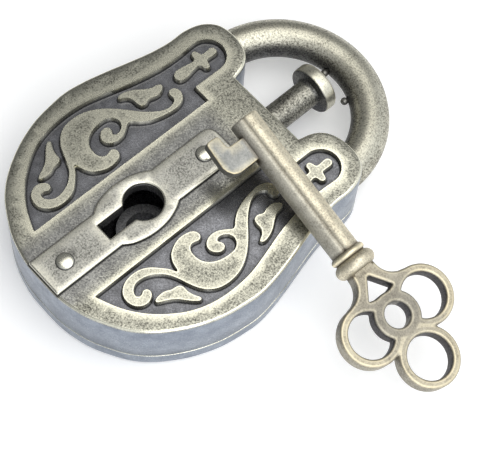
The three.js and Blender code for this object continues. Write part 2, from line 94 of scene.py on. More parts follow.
PLUNGER_HOLE_R = 2.55
PLUNGER_PROFILE = [  # (radius, y): the guided end, the rod, then the disc head
    (0, 18.75), (1.7, 18.75), (1.9, 18.95), (1.9, 22.95), (2.3, 22.95), (2.3, 33.7), (2.38, 34.1),
    (2.6, 34.4), (3.0, 34.46), (3.65, 34.48), (3.92, 34.58), (4.04, 34.8), (4.06, 35.1),
    (4.06, 36.15), (4.02, 36.42), (3.88, 36.62), (3.6, 36.71), (2.4, 36.74), (0, 36.74),
]

KEY_TIP = Vector((1.92, 17.74, 18.98))
KEY_SLOPE = math.radians(13.95)
KEY_HEADING = math.radians(-2.8)
KEY_ROLL = math.radians(-3.2)
KEY_HALF = 1.25
BIT_HALF = 0.85
SHAFT_R = 2.32
SHAFT_END = 25.2
VALLEY_TURN = math.radians(113)  # where the shaft's groove runs, from the side away from the bit
VALLEYS = (VALLEY_TURN, VALLEY_TURN - math.pi)
COLLAR_PROFILE = [  # (radius, x): a small ring, a crease and the large ring
    (0, 24.5), (2.3, 24.5), (2.55, 24.62), (2.78, 24.9), (2.82, 25.15), (2.74, 25.42), (2.5, 25.6),
    (2.42, 25.68), (2.6, 25.8), (2.95, 26.05), (3.18, 26.4), (3.28, 26.8), (3.22, 27.2),
    (3.0, 27.6), (2.65, 27.88), (2.3, 28.0), (0, 28.0),
]

SKY_BAND = (-0.5, 0.5, 0.12, 1.0)  # sky strength from dim (towards -X) to bright

# ---------------------------------------------------------------- outlines (the case: right half)

CASE_OUTLINE = [
    (0, -19.3), (3.4, -19.2), (6.1, -18.7), (8.7, -17.9), (11.7, -16.4), (14.2, -14.8),
    (16.4, -12.7), (18.3, -10.1), (20, -7), (21.4, -3.2), (22.1, 0.8), (22.3, 3.5), (21.9, 6.8),
    (21.1, 10.5), (20.1, 14.4), (19.2, 18.3), (18.8, 21.5), (18.8, 24.7), (18, 27.5),
    (16.2, 29.4), (13.8, 30), (11.2, 29.8), (9.1, 28.9), (7.8, 27.3), (7.1, TOP_Y),
]
CHAMBER_OUTLINE = [
    (0, -17.4), (6, -16.7), (11, -14.8), (15.3, -11.4), (18.3, -7), (19.9, -2), (20.3, 3),
    (19.8, 8), (18.6, 13), (17.3, 17.5),
]
PANEL_EDGE = [
    (15.9, 24.2), (15.7, 20.5), (15.9, 16.8), (16.8, 12), (17.9, 8), (18.8, 4.2), (19, 0.5),
    (18.6, -3), (17.6, -6), (16, -8.6), (13.7, -11.2), (10.7, -13.4), (6.85, -15.1),
]
SCROLL = [
    (10.6, 15.2), (11.1, 15.1), (11.8, 15.3), (12.1, 15.8), (11.9, 16.5), (10.8, 16.9),
    (9.6, 16.3), (9, 15), (9, 13.4), (9.3, 11.7), (9.9, 9.9), (10.8, 8.5), (11.8, 7.3),
    (11.2, 6.3), (10.6, 5.3), (10.4, 4), (10.7, 3), (11.4, 2.3), (12.3, 2.2), (13.1, 2.7),
    (13.5, 3.4), (13.4, 4.1), (12.9, 4.5), (12.3, 4.4), (11.9, 4.1), (11.5, 4.5), (11.6, 5.3),
    (12.1, 6), (12.9, 6.3), (13.8, 6), (14.4, 5.2), (14.5, 3.8), (14.2, 2.1), (13.4, 0.8),
    (12.4, 0.15), (11.2, 0), (10.3, 0.2), (9.75, 0.8), (9.8, 1.5), (10, 2.2), (9.6, 2.8),
    (8.9, 2.85), (8.2, 2.4), (7.8, 1.2), (7.8, -0.2), (8.3, -1.5), (9, -2.5), (10.2, -3.2),
    (11.6, -3.55), (10.6, -4.15), (9.6, -5), (8.6, -6), (7.9, -7.2), (7.65, -8.6), (7.8, -10),
    (8.4, -11.2), (9.4, -12), (10.7, -12.15), (11.8, -11.7), (12.5, -10.8), (12.6, -9.7),
    (12.1, -8.8), (11.4, -8.45), (10.8, -8.7), (10.65, -9.3), (11, -9.9), (10.9, -10.45),
    (10.3, -10.55), (9.6, -10.1), (9.15, -9.3), (9.15, -8.2), (9.5, -7), (10.2, -5.9),
    (11.3, -4.9), (12.7, -4.2), (14.2, -3.65), (15.6, -3), (16.7, -2.1), (17.5, -0.9),
    (17.85, 0.6), (17.8, 2.3), (17.3, 4.1), (16.3, 5.8), (15, 7.3), (13.6, 8.6), (12.2, 9.8),
    (11.1, 11), (10.2, 12.3), (9.8, 13.6), (10.1, 14.8),
]
UPPER_LEAF = [
    (15.9, 8.7), (16.4, 9.1), (16.3, 10.2), (15.7, 11.6), (14.8, 12.8), (14.2, 13.9), (14, 15),
    (13.5, 15.5), (12.9, 15), (12.5, 14.1), (12.6, 13.1), (12.85, 12.3), (12.5, 11.4),
    (12.7, 10.6), (13.4, 10.3), (14.5, 10.25), (15.3, 9.7),
]
LOWER_LEAF = [
    (12.95, -9), (12.7, -8.1), (12.75, -7), (13.2, -6), (13.3, -5.1), (13.8, -4.5), (15, -4.45),
    (16.1, -4.1), (17, -3.65), (17.3, -4), (16.8, -4.8), (15.8, -5.7), (14.8, -6.6), (14.1, -7.7),
    (13.6, -8.7), (13.3, -9.1),
]
CROSS_X = 13.0
CROSS_HALF = [
    (0, 26.1), (0.45, 25.95), (0.7, 25.5), (0.68, 23.75), (1.15, 23.55), (1.8, 23.3),
    (1.95, 22.85), (1.6, 22.4), (0.7, 22.2), (0.65, 21.4), (1, 19.4), (0.95, 18.4), (0.5, 17.8),
    (0, 17.65),
]
STRAP_EDGE = [
    (3.3, -6.9), (4.2, -5.4), (4.8, -3.3), (4.95, -1), (4.65, 1.2), (4, 3), (3.25, 4.3),
]
KEY_BIT = [
    (2.25, -1.5), (2.3, -4.7), (2.15, -5.0), (1.85, -5.12), (0.35, -5.15), (0.1, -5.3), (0, -5.6),
    (0, -7.0), (0.12, -7.3), (0.5, -7.42), (4.3, -7.62), (5.1, -7.4), (5.9, -6.85), (6.25, -6.2),
    (6.35, -5.6), (6.15, -1.5),
]
KEY_NECK = [
    (26.5, 2.05), (28.1, 2.15), (29.5, 2.42), (30.6, 3.15), (31.3, 4.2), (31.8, 5.25), (33.5, 5.25),
]
KEY_WINDOW = [
    (29.55, 0.1), (32.4, 2.15), (32.75, 0.8), (32.75, -0.8), (32.4, -2.15), (29.55, -0.1),
]
KEY_LOBES = [(36.45, 5.25), (36.45, -5.25), (44.0, 0)]
LOBE_R = 4.78
LOBE_HOLE_R = 3.48
KEY_RING_X = 36.4
KEY_RING_R = 3.75
KEY_RING_HOLE_R = 1.98


def mirrored(points):
    return [(-x, y) for x, y in reversed(points)]


def whole(half):
    """Both halves of an outline whose first point is on the middle line."""
    return mirrored(half[1:]) + list(half)


def smooth(points, steps=6, closed=False):
    """Points along a centripetal Catmull-Rom curve."""
    p = [np.array(q, float) for q in points]
    ends = ([p[-1]], [p[0], p[1]]) if closed else ([2 * p[0] - p[1]], [2 * p[-1] - p[-2]])
    run = ends[0] + p + ends[1]
    out = []
    for a, b, c, d in zip(run, run[1:], run[2:], run[3:]):
        t1 = math.dist(a, b) ** 0.5
        t2 = t1 + math.dist(b, c) ** 0.5
        t3 = t2 + math.dist(c, d) ** 0.5
        for t in np.linspace(t1, t2, steps, endpoint=False):
            ab = a + (b - a) * (t / t1)
            bc = b + (c - b) * ((t - t1) / (t2 - t1))
            cd = c + (d - c) * ((t - t2) / (t3 - t2))
            abc = ab + (bc - ab) * (t / t2)
            bcd = bc + (cd - bc) * ((t - t1) / (t3 - t1))
            out.append(tuple(abc + (bcd - abc) * ((t - t1) / (t2 - t1))))
    if not closed:
        out.append(tuple(p[-1]))
    return out


# ---------------------------------------------------------------- distance fields, negative inside


def polygon_field(points):
    corners = [tuple(map(float, p)) for p in points]

    def field(x, y):
        nearest = np.full(np.shape(x), np.inf)
        inside = np.zeros(np.shape(x), bool)
        for (ax, ay), (bx, by) in zip(corners, corners[1:] + corners[:1]):
            ex, ey = bx - ax, by - ay
            length2 = ex * ex + ey * ey
            if length2 < 1e-12:
                continue
            t = np.clip(((x - ax) * ex + (y - ay) * ey) / length2, 0, 1)
            nearest = np.minimum(nearest, (x - ax - t * ex) ** 2 + (y - ay - t * ey) ** 2)
            if ay != by:
                inside ^= ((ay > y) != (by > y)) & (x < ax + (y - ay) * ex / ey)
        return np.where(inside, -1, 1) * np.sqrt(nearest)

    return field


def disc_field(cx, cy, radius):
    return lambda x, y: np.hypot(x - cx, y - cy) - radius


def union(*fields):
    return lambda x, y: np.minimum.reduce([f(x, y) for f in fields])


def blend_union(blend, *fields):
    """A union whose inner corners are filled with a fillet."""

    def field(x, y):
        total = fields[0](x, y)
        for f in fields[1:]:
            other = f(x, y)
            h = np.clip(0.5 + 0.5 * (other - total) / blend, 0, 1)
            total = other * (1 - h) + total * h - blend * h * (1 - h)
        return total

    return field


def without(field, *holes):
    return lambda x, y: np.maximum.reduce([field(x, y)] + [-h(x, y) for h in holes])


def both_sides(field):
    return lambda x, y: field(np.abs(x), y)


def arc(cx, cy, radius, start, end, count):
    turns = np.radians(np.linspace(start, end, count))
    return [(cx + radius * math.cos(t), cy + radius * math.sin(t)) for t in turns]


case_field = polygon_field(smooth(whole(CASE_OUTLINE), 6))
panel_points = [(6.85, 19), (9.9, 19)] + arc(12.9, 24.2, 3, 180, 12, 14) + smooth(PANEL_EDGE, 5)
panel_field = both_sides(polygon_field(panel_points))
cross_points = [(x + CROSS_X, y) for x, y in smooth(CROSS_HALF, 3) + mirrored(smooth(CROSS_HALF, 3))]
ornament_field = both_sides(union(
    polygon_field(smooth(SCROLL, 3, closed=True)),
    polygon_field(smooth(UPPER_LEAF, 3, closed=True)),
    polygon_field(smooth(LOWER_LEAF, 3, closed=True)),
    polygon_field(cross_points),
))
keyhole_field = union(
    disc_field(0, 0, KEYHOLE_R),
    polygon_field([(-SLOT_HALF, -1), (-SLOT_HALF, SLOT_END), (SLOT_HALF, SLOT_END), (SLOT_HALF, -1)]),
)
strap_end = [(3.3, 14.6), (3.05, 15.4), (2.5, 15.9), (1.7, 16.1)]
strap_side = [(3.3, -19.0)] + smooth(STRAP_EDGE, 5) + strap_end
strap_field = polygon_field(strap_side + mirrored(strap_side))


# ---------------------------------------------------------------- meshes from fields


def contours(values, xs, ys, level):
    """Closed loops where the sampled field equals level (marching squares)."""
    v = values - level
    v[v == 0] = 1e-9
    sign = v > 0
    crossing = ~((sign[:-1, :-1] == sign[1:, :-1]) & (sign[:-1, :-1] == sign[:-1, 1:])
                 & (sign[:-1, :-1] == sign[1:, 1:]))
    spots, links = {}, {}

    def edge_point(i, j, along_x):
        key = (i, j, along_x)
        if key not in spots:
            k, m = (i + 1, j) if along_x else (i, j + 1)
            t = v[i, j] / (v[i, j] - v[k, m])
            spots[key] = (xs[i] + (xs[k] - xs[i]) * t, ys[j] + (ys[m] - ys[j]) * t)
        return key

    for i, j in zip(*np.nonzero(crossing)):
        ring = [sign[i, j], sign[i + 1, j], sign[i + 1, j + 1], sign[i, j + 1]]
        sides = [(i, j, True), (i + 1, j, False), (i, j + 1, True), (i, j, False)]
        cut = [n for n in range(4) if ring[n] != ring[(n + 1) % 4]]
        if len(cut) == 4:
            middle = v[i:i + 2, j:j + 2].mean() > 0
            pairs = [(0, 1), (2, 3)] if middle == ring[0] else [(3, 0), (1, 2)]
        else:
            pairs = [tuple(cut)]
        for a, b in pairs:
            ka, kb = edge_point(*sides[a]), edge_point(*sides[b])
            links.setdefault(ka, []).append(kb)
            links.setdefault(kb, []).append(ka)
    loops = []
    while links:
        start = here = next(iter(links))
        loop = []
        while True:
            loop.append(spots[here])
            following = links[here].pop()
            links[following].remove(here)
            if not links[here]:
                del links[here]
            here = following
            if here == start:
                if here in links and not links[here]:
                    del links[here]
                break
        loops.append(loop)
    return loops


def thinned(loop, spacing):
    kept = [loop[0]]
    for p in loop[1:]:
        if math.dist(p, kept[-1]) >= spacing:
            kept.append(p)
    if len(kept) > 3 and math.dist(kept[0], kept[-1]) < spacing:
        kept.pop()
    return kept


def mesh_object(name, points, faces):
    mesh = bpy.data.meshes.new(name)
    mesh.from_pydata([tuple(c * MM for c in p) for p in points], [], faces)
    mesh.validate()
    obj = bpy.data.objects.new(name, mesh)
    bpy.context.scene.collection.objects.link(obj)
    return obj


def weld(obj, distance=1e-6):
    bm = bmesh.new()
    bm.from_mesh(obj.data)
    bmesh.ops.remove_doubles(bm, verts=bm.verts, dist=distance)
    bmesh.ops.recalc_face_normals(bm, faces=bm.faces)
    bm.to_mesh(obj.data)
    bm.free()
    return obj


ROUNDING = [0.08, 0.3, 0.62, 1]  # how far in each ring of a rounded edge lies, of its radius
FILL_STEP = 1.3  # spacing of the points inside a plate, away from its rings


def plate(name, field, box, low, high, top_edge=0.3, low_edge=0.1, step=0.16, spacing=0.2,
          extra=(), lowered=None):
    """A closed plate with rounded edges. extra holds (field, levels) rings that carry relief."""
    (x0, y0), (x1, y1) = box
    xs = np.arange(x0, x1 + step, step)
    ys = np.arange(y0, y1 + step, step)
    gx, gy = np.meshgrid(xs, ys, indexing="ij")
    values = field(gx, gy)
    points, edges = [], []

    def add(loops):
        for loop in loops:
            loop = thinned(loop, spacing)
            if len(loop) < 6:
                continue
            first = len(points)
            points.extend(loop)
            count = len(loop)
            edges.extend((first + i, first + (i + 1) % count) for i in range(count))

    add(contours(values, xs, ys, 0))
    for share in ROUNDING:
        add(contours(values, xs, ys, -share * top_edge))
    for relief, levels in extra:
        relief_values = relief(gx, gy)
        for level in levels:
            add(contours(relief_values, xs, ys, level))
    fill = [(x, y) for x in np.arange(x0, x1, FILL_STEP) for y in np.arange(y0, y1, FILL_STEP)]
    fx, fy = np.array(fill).T
    clear = field(fx, fy) < -0.8 * top_edge - 0.3
    for relief, _ in extra:
        clear &= np.abs(relief(fx, fy)) > 0.7
    points.extend([p for p, ok in zip(fill, clear) if ok])
    verts, _, faces = delaunay_2d_cdt([Vector(p) for p in points], edges, [], 0, 1e-7)[:3]
    flat = np.array([tuple(v) for v in verts])
    corners = flat[np.array(faces)]
    centres = corners.mean(1)
    turn = np.cross(corners[:, 1] - corners[:, 0], corners[:, 2] - corners[:, 0])
    inner = field(centres[:, 0], centres[:, 1]) < 0
    kept = [tuple(f) if t > 0 else tuple(f)[::-1] for f, t, ok in zip(faces, turn, inner) if ok]
    directed = {edge for a, b, c in kept for edge in ((a, b), (b, c), (c, a))}
    rim = [(a, b) for a, b in directed if (b, a) not in directed]
    x, y = flat.T
    inset = np.clip(-field(x, y), 0, None)
    on_rim = np.zeros(len(flat), bool)
    on_rim[[a for a, _ in rim]] = True
    inset[on_rim] = 0

    def drop(radius):
        reach = np.clip(1 - inset / radius, 0, 1)
        return radius * (1 - np.sqrt(1 - reach ** 2))

    top = high - drop(top_edge)
    if lowered is not None:
        top = np.where(on_rim, top, top - lowered(x, y))
    bottom = low + drop(low_edge)
    count = len(flat)
    cloud = [(a, b, c) for a, b, c in zip(x, y, top)] + [(a, b, c) for a, b, c in zip(x, y, bottom)]
    shell = kept + [tuple(i + count for i in reversed(f)) for f in kept]
    shell += [(b, a, a + count, b + count) for a, b in sorted(rim)]
    obj = mesh_object(name, cloud, shell)
    bm = bmesh.new()
    bm.from_mesh(obj.data)
    loose = [v for v in bm.verts if not v.link_faces]
    bmesh.ops.delete(bm, geom=loose, context="VERTS")
    bmesh.ops.recalc_face_normals(bm, faces=bm.faces)
    bm.to_mesh(obj.data)
    bm.free()
    return obj


def turned(name, profile, segments=48):
    """A closed solid of revolution about Z; profile is [(radius, z)], ending on the axis or closed."""
    ring_ids, points, faces = [], [], []
    for radius, z in profile:
        if radius < 1e-6:
            ring_ids.append([len(points)] * segments)
            points.append((0, 0, z))
        else:
            ring_ids.append(list(range(len(points), len(points) + segments)))
            turns = [2 * math.pi * k / segments for k in range(segments)]
            points.extend((radius * math.cos(t), radius * math.sin(t), z) for t in turns)
    for low, high in zip(ring_ids, ring_ids[1:]):
        for k in range(segments):
            m = (k + 1) % segments
            face = []
            for i in (low[k], low[m], high[m], high[k]):
                if i not in face:
                    face.append(i)
            if len(face) > 2:
                faces.append(face)
    return weld(mesh_object(name, points, faces))


def tube(name, points, segments):
    """A closed tube from rings of points, one ring after the other."""
    last = len(points) - segments
    faces = []
    for ring in range(0, last, segments):
        for k in range(segments):
            m = (k + 1) % segments
            faces.append((ring + k, ring + m, ring + m + segments, ring + k + segments))
    faces.append(tuple(range(segments)))
    faces.append(tuple(last + k for k in range(segments)))
    return weld(mesh_object(name, points, faces))


def moved(obj, matrix):
    """Moves a mesh's own points by a matrix given in millimetres."""
    scaled = matrix.copy()
    scaled.translation *= MM
    obj.data.transform(scaled)
    return obj


def block(name, x, y, z):
    points = [(a, b, c) for c in z for b in y for a in x]
    faces = [(0, 2, 3, 1), (4, 5, 7, 6), (0, 1, 5, 4), (2, 6, 7, 3), (0, 4, 6, 2), (1, 3, 7, 5)]
    return mesh_object(name, points, faces)


def prism(name, outline, low, high):
    count = len(outline)
    points = [(x, y, low) for x, y in outline] + [(x, y, high) for x, y in outline]
    faces = [tuple(reversed(range(count))), tuple(range(count, 2 * count))]
    faces += [(i, (i + 1) % count, (i + 1) % count + count, i + count) for i in range(count)]
    return weld(mesh_object(name, points, faces))


def post(name, x, y, radius, low, high, segments=48):
    obj = turned(name, [(0, low), (radius, low), (radius, high), (0, high)], segments)
    return moved(obj, Matrix.Translation((x, y, 0)))


def along_y(obj, x=0, z=AXIS_Z):
    """Turns a piece made along Z so that it points along +Y, at the height of the wire."""
    return moved(obj, Matrix.Translation((x, 0, z)) @ Matrix.Rotation(math.radians(-90), 4, "X"))


def combine(obj, other, operation):
    step = obj.modifiers.new("join", "BOOLEAN")
    step.object = other
    step.operation = operation
    step.solver = "MANIFOLD"
    shaped = obj.evaluated_get(bpy.context.evaluated_depsgraph_get())
    mesh = bpy.data.meshes.new_from_object(shaped)
    obj.modifiers.clear()
    old = obj.data
    obj.data = mesh
    bpy.data.meshes.remove(old)
    bpy.data.objects.remove(other)
    return obj


def cut(obj, *cutters):
    for cutter in cutters:
        combine(obj, cutter, "DIFFERENCE")
    return obj


def join(obj, *others):
    for other in others:
        combine(obj, other, "UNION")
    return obj


def shade(obj, angle=38):
    obj.data.shade_smooth()
    obj.data.set_sharp_from_angle(angle=math.radians(angle))
    return obj


def positions(obj):
    co = np.zeros(len(obj.data.vertices) * 3)
    obj.data.vertices.foreach_get("co", co)
    return co.reshape(-1, 3) / MM


def ramp(value, low, high):
    t = np.clip((value - low) / (high - low), 0, 1)
    return t * t * (3 - 2 * t)


def ridge(value, centre, width):
    """1 where value is at centre, fading to both sides."""
    return np.exp(-((value - centre) / width) ** 2)


def fade(value, start, width):
    """1 up to start, fading beyond it."""
    return np.exp(-np.clip(value - start, 0, None) / width)


def paint(obj, recess_and_shade, wear_and_sheen, grime_and_shade, plain=0.0):
    """Stores the masks of tarnish and painted light at each point: sunk floor and painted shade, rubbed
    edges and painted highlight, dark creases and painted shadow, smooth sides.
    """
    layer = obj.data.color_attributes.new("patina_and_light", "FLOAT_COLOR", "POINT")
    count = len(obj.data.vertices)
    values = np.zeros((count, 4))
    for channel, mask in enumerate((recess_and_shade, wear_and_sheen, grime_and_shade, plain)):
        values[:, channel] = np.clip(mask, 0, 1)
    layer.data.foreach_set("color", values.ravel())
    return obj


# ---------------------------------------------------------------- materials


RANGE_INPUTS = ("From Min", "From Max", "To Min", "To Max")
CLOUD_SCALE, GRAIN_SCALE, FINE_SCALE = 330, 3600, 9000  # noise cells per metre, coarse to fine
BUMP_DEPTH = 0.04 * MM


class Nodes:
    """A short way to write a node tree."""

    def __init__(self, name):
        self.material = bpy.data.materials.new(name)
        self.material.use_nodes = True
        self.tree = self.material.node_tree
        self.shader = self.tree.nodes["Principled BSDF"]
        self.coords = self.tree.nodes.new("ShaderNodeTexCoord").outputs["Object"]

    def link(self, source, socket):
        self.tree.links.new(source, socket)

    def put(self, value, socket):
        if isinstance(value, bpy.types.NodeSocket):
            self.link(value, socket)
        else:
            socket.default_value = value

    def noise(self, scale, detail=3, roughness=0.6, stretch=None, turn=0):
        node = self.tree.nodes.new("ShaderNodeTexNoise")
        node.inputs["Scale"].default_value = scale
        node.inputs["Detail"].default_value = detail
        node.inputs["Roughness"].default_value = roughness
        where = self.coords
        if stretch:
            mapping = self.tree.nodes.new("ShaderNodeMapping")
            mapping.inputs["Scale"].default_value = stretch
            mapping.inputs["Rotation"].default_value = (0, 0, turn)
            self.link(where, mapping.inputs["Vector"])
            where = mapping.outputs["Vector"]
        self.link(where, node.inputs["Vector"])
        return node.outputs["Fac"]

    def math(self, operation, a, b=0.0, clamp=False):
        node = self.tree.nodes.new("ShaderNodeMath")
        node.operation = operation
        node.use_clamp = clamp
        self.put(a, node.inputs[0])
        self.put(b, node.inputs[1])
        return node.outputs[0]

    def span(self, value, low, high, to_low=0.0, to_high=1.0):
        node = self.tree.nodes.new("ShaderNodeMapRange")
        self.put(value, node.inputs["Value"])
        for name, number in zip(RANGE_INPUTS, (low, high, to_low, to_high)):
            node.inputs[name].default_value = number
        return node.outputs[0]

    def mix(self, share, a, b):
        node = self.tree.nodes.new("ShaderNodeMix")
        node.data_type = "RGBA"
        self.put(share, node.inputs["Factor"])
        self.put(a, node.inputs["A"])
        self.put(b, node.inputs["B"])
        return node.outputs["Result"]

    def masks(self):
        attribute = self.tree.nodes.new("ShaderNodeAttribute")
        attribute.attribute_name = "patina_and_light"
        split = self.tree.nodes.new("ShaderNodeSeparateColor")
        self.link(attribute.outputs["Color"], split.inputs["Color"])
        return split.outputs[0], split.outputs[1], split.outputs[2], attribute.outputs["Alpha"]

    def bump(self, height, strength, distance):
        node = self.tree.nodes.new("ShaderNodeBump")
        node.inputs["Strength"].default_value = strength
        node.inputs["Distance"].default_value = distance
        self.link(height, node.inputs["Height"])
        self.link(node.outputs["Normal"], self.shader.inputs["Normal"])


def rgb(r, g, b):
    return (r, g, b, 1.0)


def antique_metal(name, bright, middle, dark, ground_and_shade=None, worn_and_sheen=None, side=None, rough=0.42,
                  speckle=1.0, relief=0.35, gloss=0.0, soot_and_shade=rgb(0.012, 0.012, 0.014), painted=True):
    """Antique plating: a speckled rubbed metal over dark tarnish and painted shade, with bright edges
    that are rubbed and partly painted highlight, and dark creases that hold dirt and partly painted
    shadow.
    """
    n = Nodes(name)
    clouds = n.noise(CLOUD_SCALE, 4, 0.6)
    grain = n.noise(GRAIN_SCALE, 3, 0.75)
    fine = n.noise(FINE_SCALE, 2, 0.7)
    scratch = n.noise(1.0, 3, 0.6, stretch=(900, 9000, 900), turn=0.6)
    scratch2 = n.noise(1.0, 3, 0.6, stretch=(8000, 800, 800), turn=0.25)
    tone = n.math("ADD", n.math("MULTIPLY", grain, 0.76 * speckle), n.math("MULTIPLY", clouds, 0.24))
    tone = n.math("ADD", tone, n.math("MULTIPLY", n.math("SUBTRACT", fine, 0.5), 0.3 * speckle))
    recess_and_shade, wear_and_sheen, grime_and_shade, plain = n.masks() if painted else (0.0, 0.0, 0.0, 0.0)
    if painted:
        tone = n.math("ADD", tone, n.math("MULTIPLY", wear_and_sheen, 0.28))
    half = 0.38 * speckle + 0.12
    colour = n.mix(n.span(tone, half - 0.12, half), dark, middle)
    colour = n.mix(n.span(tone, half - 0.01, half + 0.12), colour, bright)
    streaks = n.math("ADD", n.span(scratch, 0.62, 0.72), n.span(scratch2, 0.64, 0.74), clamp=True)
    colour = n.mix(n.math("MULTIPLY", streaks, 0.35), colour, bright)
    roughness = n.span(tone, half - 0.15, half + 0.2, rough + 0.14, rough - 0.06)
    if painted:
        # Smooth sides take the side colours; on the case walls these are a painted cool reflection.
        if side:
            blotches = n.math("ADD", grain, n.math("MULTIPLY", clouds, 1.5))
            flank = n.mix(n.span(blotches, 1.0, 1.5), side[0], side[1])
            colour = n.mix(plain, colour, flank)
        dapple = n.math("ADD", grain, n.math("MULTIPLY", clouds, 0.6))
        floor_tone = n.mix(n.span(dapple, 0.7, 1.05), ground_and_shade[0], ground_and_shade[1])
        floor_tone = n.mix(n.math("MULTIPLY", n.span(fine, 0.66, 0.74), 0.45), floor_tone, middle)
        colour = n.mix(recess_and_shade, colour, floor_tone)
        rub_and_sheen = n.math("MULTIPLY", wear_and_sheen, n.span(grain, 0.3, 0.6, 0.45, 1.0), clamp=True)
        colour = n.mix(rub_and_sheen, colour, worn_and_sheen)
        colour = n.mix(grime_and_shade, colour, soot_and_shade)
        roughness = n.math("SUBTRACT", roughness, n.math("MULTIPLY", wear_and_sheen, 0.1))
        roughness = n.math("SUBTRACT", roughness, n.math("MULTIPLY", recess_and_shade, gloss))
    n.link(colour, n.shader.inputs["Base Color"])
    n.shader.inputs["Metallic"].default_value = 0.9
    n.link(roughness, n.shader.inputs["Roughness"])
    height = n.math("ADD", n.math("MULTIPLY", grain, 0.7), n.math("MULTIPLY", fine, 0.3))
    height = n.math("ADD", height, n.math("MULTIPLY", streaks, -0.25))
    n.bump(height, relief, BUMP_DEPTH)
    return n.material


# The case's blue-grey side colours are a painted cool reflection on its walls; the darkest colours of
# the shackle and key paint their shaded sides and walls.
CASE_METAL = antique_metal(
    "antique case", bright=rgb(0.53, 0.52, 0.435), middle=rgb(0.31, 0.305, 0.26),
    dark=rgb(0.08, 0.078, 0.066), ground_and_shade=(rgb(0.165, 0.166, 0.178), rgb(0.29, 0.295, 0.322)),
    worn_and_sheen=rgb(0.93, 0.9, 0.73), side=(rgb(0.185, 0.212, 0.26), rgb(0.28, 0.312, 0.365)),
    rough=0.28, relief=0.1, gloss=0.06)
STRAP_METAL = antique_metal(
    "antique strap", bright=rgb(0.56, 0.55, 0.5), middle=rgb(0.39, 0.385, 0.355),
    dark=rgb(0.14, 0.14, 0.125), ground_and_shade=(rgb(0.075, 0.075, 0.09), rgb(0.20, 0.20, 0.225)),
    worn_and_sheen=rgb(0.97, 0.94, 0.78), rough=0.36, relief=0.12)
SHACKLE_METAL = antique_metal(
    "antique shackle", bright=rgb(0.62, 0.6, 0.5), middle=rgb(0.36, 0.345, 0.285),
    dark=rgb(0.08, 0.076, 0.062), ground_and_shade=(rgb(0.045, 0.047, 0.055), rgb(0.21, 0.215, 0.23)),
    worn_and_sheen=rgb(0.86, 0.83, 0.68), rough=0.42, speckle=1.15)
KEY_METAL = antique_metal(
    "key metal", bright=rgb(0.84, 0.78, 0.62), middle=rgb(0.66, 0.605, 0.47),
    dark=rgb(0.36, 0.32, 0.25), ground_and_shade=(rgb(0.035, 0.037, 0.05), rgb(0.12, 0.125, 0.15)),
    worn_and_sheen=rgb(0.95, 0.81, 0.47), side=(rgb(0.27, 0.275, 0.265), rgb(0.4, 0.4, 0.38)),
    rough=0.5, speckle=0.7, relief=0.15, soot_and_shade=rgb(0.07, 0.052, 0.034))
STEEL = antique_metal(
    "plain steel", bright=rgb(0.6, 0.6, 0.6), middle=rgb(0.4, 0.4, 0.41),
    dark=rgb(0.2, 0.2, 0.21), painted=False)
RIVET_METAL = antique_metal(
    "rivet metal", bright=rgb(0.5, 0.48, 0.4), middle=rgb(0.3, 0.29, 0.25),
    dark=rgb(0.12, 0.115, 0.1), painted=False)


def settle(obj, body, material, slot, *nodes):
    """Finishes a piece: material, body and the CAD nodes that it stands for. The slot argument is not
    used.
    """
    obj.data.materials.clear()
    obj.data.materials.append(material)
    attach(obj, body)
    if nodes:
        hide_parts(*nodes)
    return obj


# ---------------------------------------------------------------- the case


def relief_drop(x, y):
    """How far the face lies under the frame level."""
    into_panel = ramp(-panel_field(x, y), -0.04, 0.2)
    on_ornament = ramp(-ornament_field(x, y), -0.17, 0.07)
    return PANEL_DEPTH * into_panel * (1 - on_ornament)


def heel_pocket():
    """The room for the heel, which lets the wire swing out through the side of the ear."""
    reach = WIRE_R + FIT
    away, aside = math.radians(90 + SWING_DEG), math.radians(180 + SWING_DEG)
    end = (PIVOT[0] + POCKET_LENGTH * math.cos(away) + reach * math.cos(aside),
           PIVOT[1] + POCKET_LENGTH * math.sin(away) + reach * math.sin(aside))
    outline = [(PIVOT[0] + reach, 32), (PIVOT[0] - 14, 32), end]
    outline += arc(*PIVOT, reach, 180 + SWING_DEG, 360, 14)
    return prism("heel_pocket", outline, AXIS_Z - reach, AXIS_Z + reach)


def toe_pocket():
    reach = WIRE_R + FIT
    outline = arc(BEND_R + 0.05, 0, reach, -90, 90, 24) + arc(BEND_R - 0.4, 0, reach, 90, 270, 24)
    slot = prism("toe_pocket", outline, 17.3, 31.3)
    return along_y(slot)


def chamber(low, high):
    side = smooth(whole(CHAMBER_OUTLINE), 5)
    neck = [(9.2, 17.5), (9.2, CHAMBER_TOP_Y)]
    return prism("chamber", side + neck + mirrored(neck), low, high)


def case_cutters():
    return [
        heel_pocket(), toe_pocket(),
        block("bolt_passage", (8.9, 12.9), (20.55, 22.95), (BACK_FLOOR, 8)),
        post("pivot_socket", *PIVOT, 1.5, 0.6, 10.7, 24),
    ]


CASE_BOX = ((-22.8, -19.9), (22.8, 30.6))


